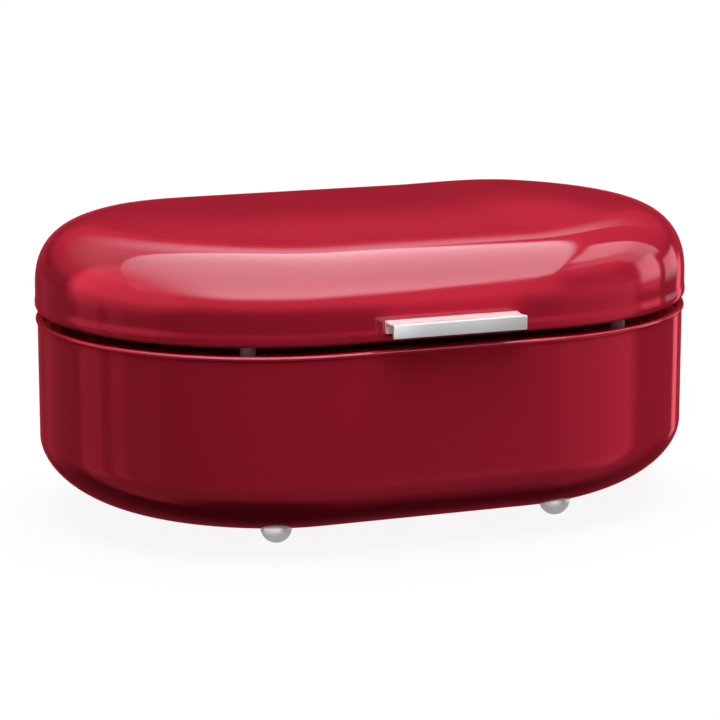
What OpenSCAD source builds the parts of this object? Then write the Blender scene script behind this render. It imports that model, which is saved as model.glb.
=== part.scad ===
// Retro bread bin: a drawn steel tub on four dome feet, with a domed lid hinged at the back.
// Frame: origin on the floor under the middle of the bin, +X to the right, front towards -Y, +Z up.

/* [Bin] */
// Length of the bin, end to end
bin_l = 420; // [380:1:460]
// Depth of the bin, front wall to rear wall
bin_w = 286; // [250:1:300]
// Thickness of the steel sheet
sheet_t = 1; // [0.8:0.1:1.2]

/* [Tub] */
// Height of the tub's underside above the floor
pan_z = 7; // [6.5:0.1:9]
// Height of the rim above the floor
rim_z = 124; // [110:1:140]
// Width of the rounded bottom edge, seen from above
bottom_round_w = 62; // [40:1:70]
// Height of the rounded bottom edge
bottom_round_h = 41; // [30:1:50]
// Fullness of the bottom edge: 2 is an ellipse, less is flatter
bottom_power = 1.85; // [1.7:0.05:2.2]
// Number of air holes in the rear wall
air_holes = 7; // [3:2:7]

/* [Rim] */
// Radius of the rolled bead round the mouth
bead_r = 1.8; // [1.6:0.1:2]
// Width of the ledge inside the bead
ledge_w = 17; // [14:0.5:20]
// Depth of the ledge below the top of the bead
ledge_drop = 1.4; // [1.2:0.1:1.6]
// Height of the folded lip at the ledge's inner edge
lip_h = 5; // [3:0.5:8]

/* [Lid] */
// Gap between the rim and the closed lid's edge
lid_gap = 5; // [4:0.1:5.5]
// Height of the lid, edge to top
lid_h = 53.5; // [50:0.5:66]
// Height of the lid's upright wall
lid_wall_h = 13.2; // [13:0.1:16]
// Width of the lid's rounded shoulder, seen from above
shoulder_w = 46; // [40:1:65]
// Fullness of the shoulder: 2 is an ellipse, more is squarer
shoulder_power = 2.5; // [2:0.1:2.6]

/* [Pull] */
// Length of the lid pull
pull_l = 85; // [70:1:100]
// How far the pull stands out from the lid
pull_reach = 15; // [13:0.1:16]
// Distance between the pull's two screws
pull_screw_gap = 60; // [50:1:64]

/* [Hinges] */
// Distance from the bin's middle to the middle of each hinge
hinge_x = 50; // [44:1:54]
// Width of a hinge
hinge_w = 32; // [28:0.5:34]
// Distance of the hinge axis behind the rear wall
hinge_off = 4.5; // [4.3:0.1:5]
// Radius of a hinge pin
pin_r = 1.5; // [1.25:0.05:1.6]
// Angle of the fully open lid
open_angle = 100; // [95:1:105]

/* [Feet] */
// Distance of each foot from the bin's middle, along its length
foot_x = 92.4; // [80:0.1:100]
// Distance of each foot from the bin's middle, along its depth
foot_y = 91.8; // [70:0.1:95]
// Diameter of the sphere that a foot is cut from
foot_d = 19.2; // [18:0.1:20]

/* [Hidden] */
$fn = 96;

RED = "#b3122f";
SATIN = "#c9cacb";
STEEL = "#a7a9ab";
RUBBER = "#8d8f90";

// The plan is a stadium: two half rounds, joined by straight walls.
end_x = (bin_l - bin_w) / 2;
outer_r = bin_w / 2;
eps = 0.01;
fit = 0.05;
through = 3;
round_steps = 16;

// Tub
wall_r = outer_r - 1.2;
wall_top = rim_z - 2;
bead_x = outer_r - bead_r;
bead_z = rim_z - bead_r;
ledge_in = bead_x - ledge_w;
ledge_z = rim_z - ledge_drop;
air_hole_r = 2;
air_hole_pitch = 10;
air_hole_z = rim_z - 20;
seat_r = 9.2;
seat_drop = 0.4;
seat_h = 6;
seat_z = pan_z - seat_drop;

// Lid
edge_z = rim_z + lid_gap;
lid_z = edge_z + lid_h;
hem_w = 3;
hem_h = 0.9;
edge_curl = 1;
edge_curl_h = 2.2;
lid_ring_z = edge_z + 1;
lid_ring_w = 16;
lid_ring_leg = 4.4;

// Pull: its section is a channel that opens downwards, for the fingertips
rail_t = 3.2;
web_t = 1.9;
front_t = 2.2;
pull_low = edge_z + 4.4;
pull_front_z = pull_low + 8.6;
pull_dish_y = 5;
pull_dish_z = pull_front_z - 0.7;
pull_back_z = edge_z + 13.2;
rail_low = edge_z + 5.6;
pull_screw_z = edge_z + 10.4;
pull_screw_r = 1.5;
pull_screw_head_r = 2.8;
pull_screw_head_h = 1.8;
pull_bore_l = 2.6;
pull_washer_r = 3.4;

// Bumpers
bumper_r = 4.7;
bumper_arc_r = ledge_in + ledge_w / 2 - 1;
bumper_angle = 23.5;
bumper_top = lid_ring_z - 0.2;
bumper_edge = 0.5;
stem_r = 2;
stem_tip_r = 1.2;
stem_bulb_r = 2.6;
stem_bulb_h = 2.2;

// Hinges: leaf sections are drawn about the hinge axis
axis_y = outer_r + hinge_off;
axis_z = rim_z + lid_gap / 2;
leaf_t = 1.5;
leaf_margin = 6;
leaf_root = 0.5;
leaf_step = 1.6;
leaf_bend = 0.6;
web_low = 1.2;
web_bend = 1.2;
bead_clear = 0.4;
knuckle_r = 3.2;
pin_head_r = 2.4;
pin_head_t = 1;
knuckle_gap = 0.4;
mid_knuckle_w = hinge_w / 3;
stop_reach = 6;
stop_t = 1.8;
stop_gap = 0.3;
rivet_x = 9;
rivet_r = 1.6;
rivet_head_r = 2.6;
rivet_crown_r = 1.8;
rivet_head_h = 1.1;
tub_rivet_z = rim_z - 19;
lid_rivet_z = edge_z + 9.5;
backing_t = 1.2;
backing_w = 26;
tub_backing_h = 13;
lid_backing_h = 7;

// Feet
foot_r = foot_d / 2;
foot_flat = 0.4;
gasket_r = 8.2;
gasket_t = 0.6;
foot_top = seat_z - gasket_t;
foot_bore_r = 1.95;
foot_bore_low = 2;
foot_hole_r = foot_bore_r + 0.2;
foot_screw_head_r = 3.6;
foot_screw_head_h = 2.2;
foot_washer_r = 5;
washer_t = 0.8;

// Outline of a solid cup with a rounded bottom edge
function cup(r, low, high, round_w, round_h) = concat(
    [[0, high], [0, low]],
    [for (i = [0:round_steps]) let (t = 90 * i / round_steps)
        [r - round_w + round_w * pow(sin(t), 2 / bottom_power),
            low + round_h * (1 - pow(cos(t), 2 / bottom_power))]],
    [[r, high]]);

// Outline of a solid dome with a full shoulder
function dome(r, low, wall_top, high, round_w) = concat(
    [[0, low], [r, low]],
    [for (i = [0:round_steps]) let (t = 90 * i / round_steps)
        [r - round_w + round_w * pow(cos(t), 2 / shoulder_power),
            wall_top + (high - wall_top) * pow(sin(t), 2 / shoulder_power)]],
    [[0, high]]);

// Sweeps a section, drawn outwards from the bin's middle line, round the stadium
module stadium() {
    for (side = [-1, 1])
        translate([side * end_x, 0, 0])
            rotate([0, 0, -90 * side])
                rotate_extrude(angle = 180)
                    children();
    rotate([90, 0, 90])
        linear_extrude(2 * end_x, center = true) {
            children();
            mirror([1, 0, 0]) children();
        }
}

// Extrudes a section in the YZ plane along X
module along_x(width) {
    rotate([90, 0, 90])
        linear_extrude(width, center = true)
            children();
}

// A cylinder along Y, from y0 to y1
module rod_y(r, y0, y1) {
    translate([0, y1, 0])
        rotate([90, 0, 0])
            cylinder(r = r, h = y1 - y0);
}

module foot_places() {
    for (x = [-foot_x, foot_x])
        for (y = [-foot_y, foot_y])
            translate([x, y, 0])
                children();
}

module hinge_rivet_places(z) {
    for (middle = [-hinge_x, hinge_x])
        for (dx = [-rivet_x, rivet_x])
            translate([middle + dx, 0, z])
                children();
}

// Stands where a bumper is: side is -1 left or 1 right, depth is -1 front or 1 rear
module bumper_place(side, depth) {
    along = end_x + bumper_arc_r * sin(bumper_angle);
    across = bumper_arc_r * cos(bumper_angle);
    translate([side * along, depth * across, 0])
        children();
}

module tub_shell() {
    color(RED)
        difference() {
            union() {
                stadium() polygon(cup(wall_r, pan_z, wall_top, bottom_round_w, bottom_round_h));
                foot_places()
                    translate([0, 0, seat_z])
                        cylinder(r = seat_r, h = seat_h);
            }
            stadium()
                polygon(cup(wall_r - sheet_t, pan_z + sheet_t, rim_z,
                    bottom_round_w - sheet_t, bottom_round_h - sheet_t));
            foot_places()
                translate([0, 0, seat_z + sheet_t])
                    cylinder(r = seat_r - sheet_t, h = seat_h);
            foot_places()
                cylinder(r = foot_hole_r, h = rim_z);
            for (i = [0:air_holes - 1])
                translate([(i - (air_holes - 1) / 2) * air_hole_pitch, 0, air_hole_z])
                    rod_y(air_hole_r, wall_r - through, wall_r + through);
            hinge_rivet_places(tub_rivet_z)
                rod_y(rivet_r + fit, wall_r - through, wall_r + through);
        }
}

// The bead curls over the tub wall's top edge, and the ledge carries the bumpers
module rim_ring() {
    color(RED)
        difference() {
            stadium()
                difference() {
                    union() {
                        translate([bead_x, bead_z])
                            circle(r = bead_r);
                        translate([ledge_in, ledge_z - sheet_t])
                            square([ledge_w, sheet_t]);
                        translate([ledge_in, ledge_z - lip_h])
                            square([sheet_t, lip_h]);
                    }
                    translate([wall_r - sheet_t - fit, 0])
                        square([sheet_t + 2 * fit, wall_top + fit]);
                }
            for (side = [-1, 1])
                for (depth = [-1, 1])
                    bumper_place(side, depth)
                        translate([0, 0, ledge_z - through])
                            cylinder(r = stem_r, h = 2 * through);
        }
}

module lid_shell() {
    color(RED)
        difference() {
            stadium()
                difference() {
                    polygon(dome(outer_r, edge_z, edge_z + lid_wall_h, lid_z, shoulder_w));
                    polygon(dome(outer_r - sheet_t, edge_z + hem_h, edge_z + lid_wall_h,
                        lid_z - sheet_t, shoulder_w - sheet_t));
                    translate([0, edge_z - through])
                        square([outer_r - hem_w, 2 * through]);
                    polygon([[outer_r - edge_curl, edge_z - eps], [outer_r + eps, edge_z - eps],
                        [outer_r + eps, edge_z + edge_curl_h]]);
                }
            for (x = [-1, 1] * pull_screw_gap / 2)
                translate([x, 0, pull_screw_z])
                    rod_y(pull_screw_r + fit, -outer_r - through, -outer_r + through);
            hinge_rivet_places(lid_rivet_z)
                rod_y(rivet_r + fit, outer_r - through, outer_r + through);
        }
}

// An angle ring inside the lid's edge, which lands on the bumpers
module lid_ring() {
    color(RED)
        stadium() {
            translate([outer_r - lid_ring_w, lid_ring_z])
                square([lid_ring_w - sheet_t - fit, sheet_t]);
            translate([outer_r - 2 * sheet_t - fit, lid_ring_z])
                square([sheet_t, lid_ring_leg]);
        }
}

module pull_section() {
    polygon([[0, pull_back_z], [0, rail_low], [-rail_t, rail_low], [-rail_t, pull_dish_z - web_t + 0.3],
        [-pull_dish_y, pull_dish_z - web_t], [front_t - pull_reach, pull_front_z - web_t],
        [front_t - pull_reach, pull_low + 0.6], [front_t - pull_reach - 0.6, pull_low],
        [0.6 - pull_reach, pull_low], [-pull_reach, pull_low + 0.6],
        [-pull_reach, pull_front_z - 0.8], [0.8 - pull_reach, pull_front_z],
        [-pull_dish_y, pull_dish_z]]);
}

module lid_pull() {
    color(SATIN)
        difference() {
            translate([0, -outer_r, 0])
                along_x(pull_l) pull_section();
            for (x = [-1, 1] * pull_screw_gap / 2)
                translate([x, 0, pull_screw_z])
                    rod_y(pull_screw_r + fit, -outer_r - pull_bore_l, -outer_r + through);
        }
}

module pull_screws() {
    color(STEEL)
        for (x = [-1, 1] * pull_screw_gap / 2)
            translate([x, sheet_t - outer_r, pull_screw_z]) {
                rod_y(pull_screw_r, fit - pull_bore_l - sheet_t, washer_t + eps);
                rod_y(pull_screw_head_r, washer_t, washer_t + pull_screw_head_h);
            }
}

module pull_washers() {
    color(STEEL)
        for (x = [-1, 1] * pull_screw_gap / 2)
            translate([x, sheet_t - outer_r, pull_screw_z])
                difference() {
                    rod_y(pull_washer_r, 0, washer_t);
                    rod_y(pull_screw_r + fit, -through, through);
                }
}

module bumper(side, depth) {
    color(RUBBER)
        bumper_place(side, depth) {
            translate([0, 0, ledge_z])
                cylinder(r = bumper_r, h = bumper_top - ledge_z - bumper_edge);
            translate([0, 0, bumper_top - bumper_edge])
                cylinder(r1 = bumper_r, r2 = bumper_r - bumper_edge, h = bumper_edge);
            translate([0, 0, ledge_z - sheet_t - bumper_edge])
                cylinder(r = stem_r - fit, h = sheet_t + 2 * bumper_edge);
            translate([0, 0, ledge_z - sheet_t - fit - stem_bulb_h])
                cylinder(r1 = stem_tip_r, r2 = stem_bulb_r, h = stem_bulb_h);
        }
}

// The two outer knuckles of a hinge, as spans along X
module outer_knuckle_spans() {
    span = (hinge_w - mid_knuckle_w) / 2 - knuckle_gap;
    for (side = [-1, 1])
        translate([side * (hinge_w - span) / 2, 0, 0])
            along_x(span) children();
}

// Section of the tub leaf below the knuckles: it steps in under the bead to lie on the wall
module tub_leaf_section() {
    wall = wall_r - axis_y;
    clear = outer_r + bead_clear - axis_y;
    low = tub_rivet_z - leaf_margin - axis_z;
    step_z = bead_z - bead_r - 1 - axis_z;
    polygon([[clear, leaf_root], [clear, step_z], [wall, step_z - leaf_step], [wall, low],
        [wall + leaf_t, low], [wall + leaf_t, step_z - leaf_step - leaf_bend],
        [clear + leaf_t, step_z - leaf_bend], [clear + leaf_t, leaf_root]]);
}

// Top face of the stop tab: it lies just under the lid leaf when the lid is fully open
module stop_section() {
    out = leaf_t - hinge_off;
    function under_leaf(s) = [out * cos(open_angle) + s * sin(open_angle),
        -out * sin(open_angle) + s * cos(open_angle) - stop_gap];
    inner = under_leaf(0);
    outer_z = under_leaf(stop_reach).y;
    polygon([inner, [stop_reach, outer_z], [stop_reach, outer_z - stop_t], [inner.x, -knuckle_r / 2]]);
}

module tub_leaf(x) {
    color(STEEL)
        translate([x, axis_y, axis_z])
            difference() {
                union() {
                    along_x(hinge_w) tub_leaf_section();
                    outer_knuckle_spans() {
                        circle(r = knuckle_r);
                        stop_section();
                    }
                }
                along_x(mid_knuckle_w + 2 * knuckle_gap)
                    translate([-hinge_off - 1, -knuckle_r - 1])
                        square([hinge_off + 2, 10]);
                along_x(hinge_w + 2)
                    circle(r = pin_r + fit);
                translate([0, -axis_y, tub_rivet_z - axis_z])
                    for (dx = [-rivet_x, rivet_x])
                        translate([dx, 0, 0])
                            rod_y(rivet_r + fit, wall_r - 1, wall_r + 3);
            }
}

module lid_leaf(x) {
    inner = -hinge_off;
    outer = leaf_t - hinge_off;
    low = edge_z + 3 - axis_z;
    high = edge_z + lid_wall_h - 1 - axis_z;
    color(STEEL)
        translate([x, axis_y, axis_z])
            difference() {
                union() {
                    along_x(hinge_w)
                        translate([inner, low])
                            square([leaf_t, high - low]);
                    along_x(mid_knuckle_w) {
                        circle(r = knuckle_r);
                        polygon([[inner, low + 1], [inner, low - web_low],
                            [inner + web_bend / 2, low - web_low - web_bend], [-pin_r, leaf_root],
                            [web_bend, knuckle_r - web_bend / 2], [0, knuckle_r],
                            [outer, low - web_bend / 3], [outer, low + 1]]);
                    }
                }
                along_x(hinge_w + 2)
                    circle(r = pin_r + fit);
                translate([0, -axis_y, lid_rivet_z - axis_z])
                    for (dx = [-rivet_x, rivet_x])
                        translate([dx, 0, 0])
                            rod_y(rivet_r + fit, outer_r - 1, outer_r + 3);
            }
}

module hinge_pin(x) {
    length = hinge_w + knuckle_gap;
    color(STEEL)
        translate([x, axis_y, axis_z])
            rotate([0, 90, 0]) {
                cylinder(r = pin_r, h = length, center = true);
                for (side = [-1, 1])
                    translate([0, 0, side * (length + pin_head_t) / 2])
                        cylinder(r = pin_head_r, h = pin_head_t, center = true);
            }
}

// A plate inside the sheet, with its outer face at y and its middle at height z
module backing(x, y, z, height) {
    color(STEEL)
        translate([x, y - backing_t, z])
            difference() {
                translate([-backing_w / 2, 0, -height / 2])
                    cube([backing_w, backing_t, height]);
                for (dx = [-rivet_x, rivet_x])
                    translate([dx, 0, 0])
                        rod_y(rivet_r + fit, -through, through);
            }
}

module tub_backing(x) {
    backing(x, wall_r - sheet_t, tub_rivet_z, tub_backing_h);
}

module lid_backing(x) {
    backing(x, outer_r - sheet_t, lid_rivet_z, lid_backing_h);
}

// A rivet along Y that clamps everything between y0 and y1
module rivet(y0, y1) {
    rod_y(rivet_r, y0 - eps, y1 + eps);
    translate([0, y1, 0])
        rotate([-90, 0, 0])
            cylinder(r1 = rivet_head_r, r2 = rivet_crown_r, h = rivet_head_h);
    translate([0, y0, 0])
        rotate([90, 0, 0])
            cylinder(r1 = rivet_head_r, r2 = rivet_crown_r, h = rivet_head_h);
}

module tub_rivets() {
    color(STEEL)
        hinge_rivet_places(tub_rivet_z)
            rivet(wall_r - sheet_t - backing_t, wall_r + leaf_t);
}

module lid_rivets() {
    color(STEEL)
        hinge_rivet_places(lid_rivet_z)
            rivet(outer_r - sheet_t - backing_t, outer_r + leaf_t);
}

module foot(x, y) {
    color(SATIN)
        translate([x, y, 0])
            difference() {
                intersection() {
                    translate([0, 0, foot_r - foot_flat])
                        sphere(r = foot_r);
                    cylinder(r = foot_d, h = foot_top);
                }
                translate([0, 0, foot_bore_low])
                    cylinder(r = foot_bore_r, h = foot_d);
            }
}

module foot_gasket(x, y) {
    color(RUBBER)
        translate([x, y, foot_top])
            difference() {
                cylinder(r = gasket_r, h = gasket_t);
                translate([0, 0, -through])
                    cylinder(r = foot_hole_r, h = 2 * through);
            }
}

module foot_screws() {
    head_z = seat_z + sheet_t + washer_t;
    color(STEEL)
        foot_places() {
            translate([0, 0, foot_bore_low + foot_flat])
                cylinder(r = foot_bore_r - fit, h = head_z - foot_bore_low);
            translate([0, 0, head_z])
                cylinder(r = foot_screw_head_r, h = foot_screw_head_h);
        }
}

module foot_washers() {
    color(STEEL)
        foot_places()
            translate([0, 0, seat_z + sheet_t])
                difference() {
                    cylinder(r = foot_washer_r, h = washer_t);
                    translate([0, 0, -through])
                        cylinder(r = foot_hole_r, h = 2 * through);
                }
}

tub_shell();
rim_ring();
lid_shell();
lid_ring();
lid_pull();
pull_screws();
pull_washers();
bumper(-1, -1);  // bumper_front_left
bumper(1, -1);  // bumper_front_right
bumper(-1, 1);  // bumper_rear_left
bumper(1, 1);  // bumper_rear_right
tub_leaf(-hinge_x);  // tub_leaf_left
tub_leaf(hinge_x);  // tub_leaf_right
lid_leaf(-hinge_x);  // lid_leaf_left
lid_leaf(hinge_x);  // lid_leaf_right
hinge_pin(-hinge_x);  // hinge_pin_left
hinge_pin(hinge_x);  // hinge_pin_right
tub_backing(-hinge_x);  // tub_backing_left
tub_backing(hinge_x);  // tub_backing_right
lid_backing(-hinge_x);  // lid_backing_left
lid_backing(hinge_x);  // lid_backing_right
tub_rivets();
lid_rivets();
foot(-foot_x, -foot_y);  // foot_front_left
foot(foot_x, -foot_y);  // foot_front_right
foot(-foot_x, foot_y);  // foot_rear_left
foot(foot_x, foot_y);  // foot_rear_right
foot_gasket(-foot_x, -foot_y);  // foot_gasket_front_left
foot_gasket(foot_x, -foot_y);  // foot_gasket_front_right
foot_gasket(-foot_x, foot_y);  // foot_gasket_rear_left
foot_gasket(foot_x, foot_y);  // foot_gasket_rear_right
foot_screws();
foot_washers();
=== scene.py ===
"""Looks of the retro bread bin: smooth enamel skins, metal hardware, studio light and the camera.

Lengths are in metres, in the CAD model's frame: the front faces -Y and the floor is z = 0.
"""

import math

import bmesh
import bpy
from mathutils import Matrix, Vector


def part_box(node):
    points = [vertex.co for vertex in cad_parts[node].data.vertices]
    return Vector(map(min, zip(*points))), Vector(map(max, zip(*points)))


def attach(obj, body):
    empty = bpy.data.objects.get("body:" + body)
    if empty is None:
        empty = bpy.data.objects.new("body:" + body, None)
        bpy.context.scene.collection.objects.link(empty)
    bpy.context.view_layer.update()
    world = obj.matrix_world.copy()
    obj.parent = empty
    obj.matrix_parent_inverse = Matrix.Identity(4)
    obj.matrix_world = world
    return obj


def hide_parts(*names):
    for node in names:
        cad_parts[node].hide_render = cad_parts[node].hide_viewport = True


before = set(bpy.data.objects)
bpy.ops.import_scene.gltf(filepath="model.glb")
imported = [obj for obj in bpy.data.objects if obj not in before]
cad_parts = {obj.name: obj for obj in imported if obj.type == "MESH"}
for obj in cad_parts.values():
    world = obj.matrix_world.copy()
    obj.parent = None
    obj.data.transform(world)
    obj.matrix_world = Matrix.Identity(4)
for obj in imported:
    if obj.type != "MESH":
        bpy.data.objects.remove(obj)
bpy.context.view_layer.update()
scene = bpy.context.scene

MM = 0.001
SHEET_T = 1 * MM
SEAT_DROP = 0.4 * MM     # from the pan down to the seats that are pressed in it for the feet
LEDGE_DROP = 1.4 * MM    # from the top of the rolled rim down to the ledge inside it

# Sizes that the frame gives
rim_low, rim_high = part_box("rim_ring")
lid_low, lid_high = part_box("lid_shell")
tub_low, tub_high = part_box("tub_shell")
pull_low, pull_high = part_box("lid_pull")
foot_low, foot_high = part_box("foot_front_right")
outer_r = (rim_high.y - rim_low.y) / 2
end_x = rim_high.x - outer_r
rim_z = rim_high.z
ledge_z = rim_z - LEDGE_DROP
edge_z = lid_low.z
lid_z = lid_high.z
wall_r = (tub_high.y - tub_low.y) / 2
seat_z = tub_low.z
pan_z = seat_z + SEAT_DROP
foot_x = (foot_low.x + foot_high.x) / 2
foot_y = -(foot_low.y + foot_high.y) / 2

# The names in a corner's name, each with the side of Y or X that it means
DEPTHS = (("front", -1), ("rear", 1))
SIDES = (("left", -1), ("right", 1))

# Finished pieces, for the lights that are meant for one kind of surface
enamel_pieces = []
metal_pieces = []


# ---------------------------------------------------------------- meshes

def new_object(name, mesh_builder, sharp_deg=35):
    """Makes an object from a bmesh, smooth shaded, with edges over sharp_deg left sharp."""
    mesh = bpy.data.meshes.new(name)
    bmesh.ops.recalc_face_normals(mesh_builder, faces=mesh_builder.faces)
    mesh_builder.to_mesh(mesh)
    mesh_builder.free()
    mesh.shade_smooth()
    mesh.set_sharp_from_angle(angle=math.radians(sharp_deg))
    obj = bpy.data.objects.new(name, mesh)
    scene.collection.objects.link(obj)
    return obj


def superellipse(r, z, w, h, power, steps, turn=1):
    """A quarter superellipse from (r, z) inwards to (r - w, z + turn * h)."""
    points = []
    for i in range(steps + 1):
        t = math.pi / 2 * i / steps
        points.append((r - w + w * math.cos(t) ** (2 / power),
                       z + turn * h * math.sin(t) ** (2 / power)))
    return points


def arc(cx, cz, r, start, stop, steps):
    """Points on a circle, from start to stop in degrees."""
    angles = [math.radians(start + (stop - start) * i / steps) for i in range(steps + 1)]
    return [(cx + r * math.cos(a), cz + r * math.sin(a)) for a in angles]


def smooth(t):
    """Eases from 0 to 1, level at both ends."""
    return t * t * (3 - 2 * t)


def round_corners(points, radii, steps):
    """Rounds each corner of a closed outline with a curve of its own radius."""
    share_of_side = 0.45
    out = []
    for i, (point, radius) in enumerate(zip(points, radii)):
        corner = Vector(point)
        before = Vector(points[i - 1]) - corner
        after = Vector(points[(i + 1) % len(points)]) - corner
        half = before.angle(after) / 2
        cut = min(radius / math.tan(half), share_of_side * before.length, share_of_side * after.length)
        start = corner + before.normalized() * cut
        stop = corner + after.normalized() * cut
        for k in range(steps + 1):
            s = k / steps
            p = start * (1 - s) ** 2 + corner * 2 * s * (1 - s) + stop * s ** 2
            out.append((p.x, p.y))
    return out


ARC_STEPS = 72        # round each end
STRAIGHT_STEPS = 12   # along each long side
STRAIGHT = [end_x * (2 * i / STRAIGHT_STEPS - 1) for i in range(1, STRAIGHT_STEPS)]


def columns():
    """Stations round the stadium as (centre x, direction x, direction y), from front right."""
    stations = []
    for side, start in ((1, 0), (-1, math.pi)):
        for i in range(ARC_STEPS + 1):
            a = math.radians(-90 + 180 * i / ARC_STEPS) + start
            stations.append((side * end_x, math.cos(a), math.sin(a)))
        stations += [(side * x, 0.0, float(side)) for x in reversed(STRAIGHT)]
    return stations


def cover(bm, loop):
    """Closes a stadium-shaped opening: quads between the straights and one face at each end."""
    on_arc = ARC_STEPS + 1
    turn = on_arc + len(STRAIGHT)
    right = loop[:on_arc]
    rear = loop[on_arc:turn]
    left = loop[turn:turn + on_arc]
    front = loop[turn + on_arc:]
    back_row = [right[-1]] + rear + [left[0]]
    front_row = [right[0]] + front[::-1] + [left[-1]]
    for k in range(len(back_row) - 1):
        bm.faces.new((back_row[k], back_row[k + 1], front_row[k + 1], front_row[k]))
    bm.faces.new(right)
    bm.faces.new(left)


def sweep(name, section, closed):
    """Sweeps a section of (distance from the middle line, z) round the stadium.

    A section that is a function gets how far round the end it is: 0 on the long sides, 1 at the tip.
    """
    bm = bmesh.new()
    rings = []
    for cx, dx, dy in columns():
        points = section(dx * dx) if callable(section) else section
        rings.append([bm.verts.new((cx + dx * rho, dy * rho, z)) for rho, z in points])
    n = len(rings[0])
    for i, ring in enumerate(rings):
        after = rings[(i + 1) % len(rings)]
        for k in range(n if closed else n - 1):
            bm.faces.new((ring[k], after[k], after[(k + 1) % n], ring[(k + 1) % n]))
    if not closed:
        for k in (0, n - 1):
            cover(bm, [ring[k] for ring in rings])
    return new_object(name, bm)


def lathe(bm, section, centre, axis, steps):
    """Turns a section of (radius, height) about an axis through centre, into bm."""
    rings = []
    for i in range(steps):
        a = 2 * math.pi * i / steps
        ring = []
        for r, h in section:
            u = r * math.cos(a)
            v = r * math.sin(a)
            place = {"Z": (u, v, h), "Y": (u, h, v), "X": (h, u, v)}[axis]
            ring.append(bm.verts.new(Vector(centre) + Vector(place)))
        rings.append(ring)
    for i, ring in enumerate(rings):
        after = rings[(i + 1) % steps]
        for k in range(len(section) - 1):
            bm.faces.new((ring[k], after[k], after[k + 1], ring[k + 1]))
    bm.faces.new([ring[0] for ring in rings])
    bm.faces.new([ring[-1] for ring in rings])


# ---------------------------------------------------------------- materials

class Nodes:
    """Short helpers for building a node tree."""

    def __init__(self, tree):
        self.tree = tree
        tree.nodes.clear()

    def add(self, kind, **settings):
        node = self.tree.nodes.new(kind)
        for key, value in settings.items():
            setattr(node, key, value)
        return node

    def link(self, a, b):
        self.tree.links.new(a, b)

    def value(self, socket, value):
        if isinstance(value, bpy.types.NodeSocket):
            self.link(value, socket)
        else:
            socket.default_value = value

    def math(self, operation, *inputs):
        node = self.add("ShaderNodeMath", operation=operation)
        for socket, value in zip(node.inputs, inputs):
            self.value(socket, value)
        return node.outputs[0]

    def times(self, *values):
        out = values[0]
        for value in values[1:]:
            out = self.math("MULTIPLY", out, value)
        return out

    def plus(self, *values):
        out = values[0]
        for value in values[1:]:
            out = self.math("ADD", out, value)
        return out

    def minus(self, a, b):
        return self.math("SUBTRACT", a, b)

    def ramp(self, value, low, high, to_low=0.0, to_high=1.0, eased=True):
        kind = "SMOOTHSTEP" if eased else "LINEAR"
        node = self.add("ShaderNodeMapRange", clamp=True, interpolation_type=kind)
        for socket, v in zip(node.inputs, (value, low, high, to_low, to_high)):
            self.value(socket, v)
        return node.outputs[0]

    def band(self, value, a, b, c, d):
        """0 below a, rising to 1 at b, and falling from c to 0 at d."""
        return self.times(self.ramp(value, a, b), self.ramp(value, c, d, 1.0, 0.0))

    def blend(self, a, b, share):
        """a and b added together, with the given share of a."""
        return self.plus(self.times(a, share), self.times(b, 1 - share))

    def spread(self, noise, low, high, eased=True):
        """Stretches the middle of a noise's range to run from low to high."""
        return self.ramp(noise, 0.3, 0.7, low, high, eased)

    def coords(self, scale=(1, 1, 1)):
        coord = self.add("ShaderNodeTexCoord")
        mapping = self.add("ShaderNodeMapping")
        mapping.inputs["Scale"].default_value = scale
        self.link(coord.outputs["Object"], mapping.inputs["Vector"])
        return mapping.outputs["Vector"]

    def noise(self, vector, scale, detail=2.0, rough=0.5):
        node = self.add("ShaderNodeTexNoise")
        self.link(vector, node.inputs["Vector"])
        node.inputs["Scale"].default_value = scale
        node.inputs["Detail"].default_value = detail
        node.inputs["Roughness"].default_value = rough
        return node.outputs["Fac"]

    def mix(self, factor, a, b):
        node = self.add("ShaderNodeMix", data_type="RGBA")
        self.value(node.inputs[0], factor)
        for socket, colour in zip(node.inputs[6:8], (a, b)):
            self.value(socket, (*colour, 1) if isinstance(colour, tuple) else colour)
        return node.outputs[2]

    def bump(self, height, distance, normal=None):
        node = self.add("ShaderNodeBump")
        node.inputs["Strength"].default_value = 1.0
        node.inputs["Distance"].default_value = distance
        self.link(height, node.inputs["Height"])
        if normal is not None:
            self.link(normal, node.inputs["Normal"])
        return node.outputs["Normal"]

    def surface(self, **constants):
        """A Principled shader, with its constant values set on its own sockets."""
        shader = self.add("ShaderNodeBsdfPrincipled")
        for key, value in constants.items():
            shader.inputs[key.replace("_", " ")].default_value = value
        out = self.add("ShaderNodeOutputMaterial")
        self.link(shader.outputs[0], out.inputs["Surface"])
        return shader


def new_material(name):
    material = bpy.data.materials.new(name)
    material.use_nodes = True
    return material, Nodes(material.node_tree)


def red_enamel():
    """Gloss stoving enamel on drawn sheet: faint orange peel, long waves in the sheet, slight haze."""
    material, n = new_material("red_enamel")
    shader = n.surface(Metallic=0.0, IOR=1.5)
    at = n.coords()
    patches = n.noise(at, 7, 3, 0.55)
    grain = n.noise(at, 900, 2)
    tone = n.spread(n.blend(patches, grain, 0.8), 0.0, 1.0, eased=False)
    n.link(n.mix(tone, (0.455, 0.0135, 0.035), (0.495, 0.0155, 0.040)), shader.inputs["Base Color"])
    haze = n.noise(at, 22, 5, 0.6)
    n.link(n.ramp(haze, 0.35, 0.7, 0.05, 0.09), shader.inputs["Roughness"])
    waves = n.bump(n.noise(at, 26, 1), 0.05 * MM)
    peel = n.bump(n.noise(at, 620, 2, 0.45), 0.004 * MM, normal=waves)
    n.link(peel, shader.inputs["Normal"])
    return material


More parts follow.
